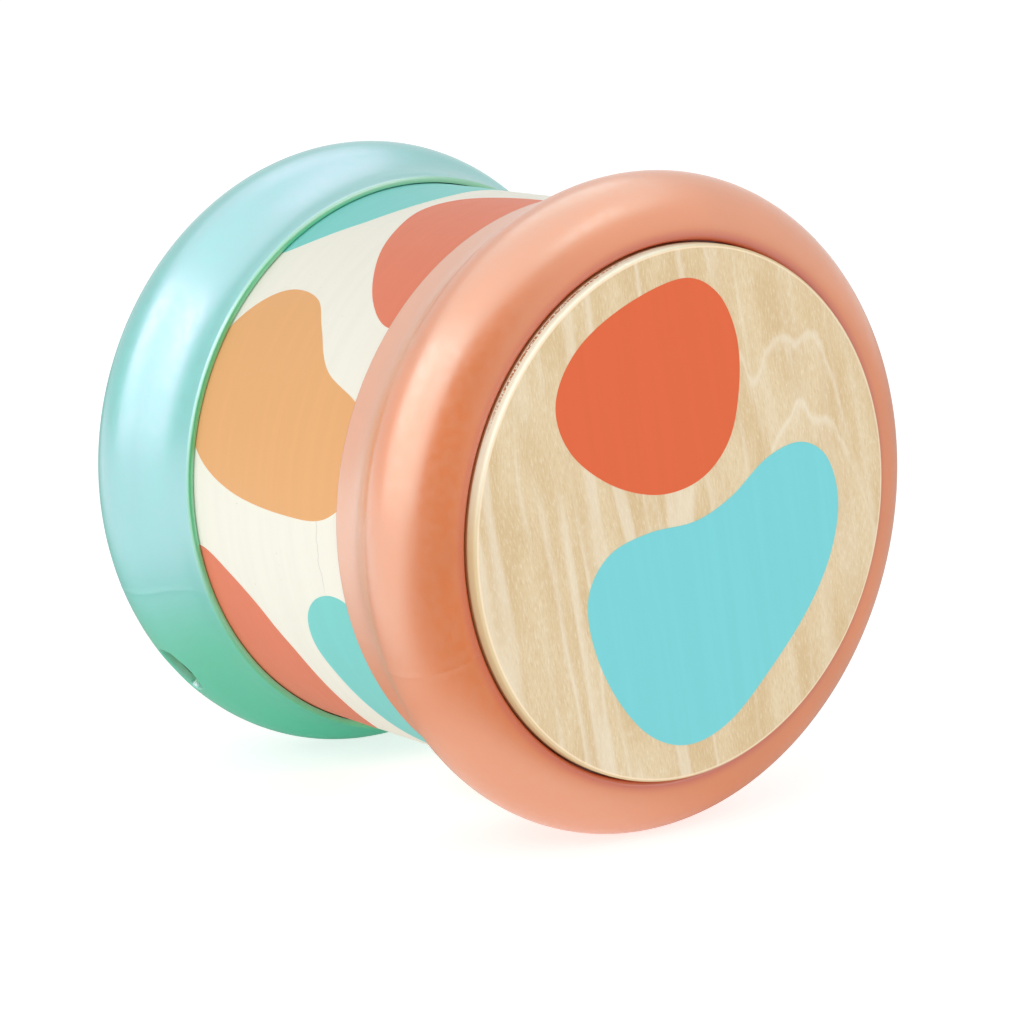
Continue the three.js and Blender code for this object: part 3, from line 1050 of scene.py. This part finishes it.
def studio_level(nodes, vector):
    """How bright the studio is in the direction of a vector from the drum, from 0 to 1."""
    straight = nodes.node("ShaderNodeVectorMath", {0: vector}, operation="NORMALIZE")
    facing = nodes.node("ShaderNodeVectorMath", {0: straight.outputs["Vector"], 1: DARK_DIRECTION},
                        operation="DOT_PRODUCT")
    return nodes.between(facing.outputs["Value"], DARK_START, DARK_FULL, 1, DARK_LEVEL)


def painted_card_glow(nodes, place):
    """How much brighter than the floor's glow the two white cards lie in reflections: glow painted
    on the floor that only reflections see. Their edges are soft."""
    near = nodes.between(distance_from(nodes, place, CARD_MIDDLE), CARD_FULL, CARD_END, CARD_LEVEL, 0)
    x = nodes.node("ShaderNodeSeparateXYZ", {0: place}).outputs["X"]
    left = nodes.between(x, LEFT_FULL, LEFT_START, LEFT_LEVEL, 0)
    return nodes.minus(nodes.larger(near, left), MIRRORED_DROP)


def make_floor():
    """A wide pale floor that shows white with the drum's soft shadow on it."""
    half = FLOOR_HALF
    mesh = bpy.data.meshes.new("floor")
    mesh.from_pydata([(-half, -half, 0), (half, -half, 0), (half, half, 0), (-half, half, 0)], [],
                     [(0, 1, 2, 3)])
    floor = bpy.data.objects.new("floor", mesh)
    bpy.context.scene.collection.objects.link(floor)
    material = bpy.data.materials.new("pale floor")
    material.use_nodes = True
    material.node_tree.nodes.clear()
    nodes = Nodes(material.node_tree)
    path = nodes.node("ShaderNodeLightPath", {}).outputs
    mirrored = mirrored_ray(nodes, path)
    place = nodes.node("ShaderNodeTexCoord", {}).outputs["Object"]
    level = nodes.math("MULTIPLY_ADD", path["Is Camera Ray"], CAMERA_GLOW, FLOOR_GLOW)
    level = nodes.math("MULTIPLY_ADD", mirrored, painted_card_glow(nodes, place), level)
    plain = nodes.node("ShaderNodeBsdfDiffuse", {"Color": FLOOR_GREY})
    glow = nodes.node("ShaderNodeEmission", {"Strength": level})
    lit = nodes.node("ShaderNodeAddShader", {0: plain.outputs[0], 1: glow.outputs[0]})
    dark = nodes.node("ShaderNodeEmission", {"Strength": 0})
    out = nodes.between(distance_from(nodes, place, (0, 0, 0)), OPEN_START, OPEN_FULL)
    dim = nodes.times(nodes.times(mirrored, nodes.minus(1, studio_level(nodes, place))), out)
    shown = nodes.node("ShaderNodeMixShader", {0: dim, 1: lit.outputs[0], 2: dark.outputs[0]})
    nodes.node("ShaderNodeOutputMaterial", {0: shown.outputs[0]})
    mesh.materials.append(material)


def make_world():
    """A white studio: white to the camera, even light on the drum, and dark round the camera
    in reflections."""
    world = bpy.data.worlds.new("studio")
    world.use_nodes = True
    world.node_tree.nodes.clear()
    nodes = Nodes(world.node_tree)
    path = nodes.node("ShaderNodeLightPath", {}).outputs
    camera = path["Is Camera Ray"]
    mirrored = mirrored_ray(nodes, path)
    direction = nodes.node("ShaderNodeTexCoord", {}).outputs["Generated"]
    seen = nodes.larger(camera, nodes.times(mirrored, studio_level(nodes, direction)))
    lighting = nodes.times(nodes.minus(1, nodes.larger(camera, mirrored)), WORLD_LIGHT)
    background = nodes.node("ShaderNodeBackground", {"Color": WHITE, "Strength": nodes.plus(seen, lighting)})
    nodes.node("ShaderNodeOutputWorld", {0: background.outputs[0]})
    bpy.context.scene.world = world


def make_lamp(name, direction, distance, width, height, brightness, shine):
    """A rectangular lamp aimed at the drum's middle. One with shine only shows in reflections,
    and any other one only lights."""
    data = bpy.data.lights.new(name, "AREA")
    data.shape = "RECTANGLE"
    data.size, data.size_y = width, height
    data.energy = brightness * math.pi * width * height
    lamp = bpy.data.objects.new(name, data)
    back = Vector(direction).normalized()
    lamp.location = Vector((0, 0, AXIS_HEIGHT)) + back * distance
    lamp.rotation_mode = "QUATERNION"
    lamp.rotation_quaternion = (-back).to_track_quat("-Z", "Y")
    lamp.visible_diffuse = not shine
    lamp.visible_glossy = shine
    lamp.visible_camera = False
    bpy.context.scene.collection.objects.link(lamp)


def main():
    """Builds the stage, the light and every piece."""
    make_camera()
    make_world()
    for lamp in LIGHTING_LAMPS:
        make_lamp(*lamp, False)
    for lamp in SHINE_LAMPS:
        make_lamp(*lamp, True)
    make_floor()
    coral = moulded_plastic("coral plastic", CORAL_PLASTIC, CORAL_COLLAR_SHEEN, CORAL_PLASTIC,
                            CORAL_SHADE_AND_BOUNCE, CORAL_PEARL, 1.95)
    teal = moulded_plastic("teal plastic", TEAL_PLASTIC, TEAL_PLASTIC, TEAL_UNDERSIDE_SHADE,
                           TEAL_SHADE_AND_BOUNCE, TEAL_PEARL, 2.24)
    make_ring("front_ring_moulding", FRONT, coral, "coral_plastic", "front_ring")
    make_ring("rear_ring_moulding", REAR, teal, "teal_plastic", "rear_ring")
    make_barrel("barrel_tube", barrel_paint(), bare_plywood(), "barrel_shell")
    make_head("front_head_disc", FRONT, head_wood("front head veneer", False), "front_head")
    make_head("rear_head_disc", REAR, head_wood("rear head veneer", True), "rear_head")
    make_spots()
    beech = turned_beech()
    zinc = zinc_plate()
    for node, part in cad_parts.items():
        if node.startswith("rattle_ball"):
            make_ball(node, beech)
        elif "screw" in node:
            part.data.materials.clear()
            part.data.materials.append(zinc)


main()
bpy.context.scene.view_settings.view_transform = "Standard"
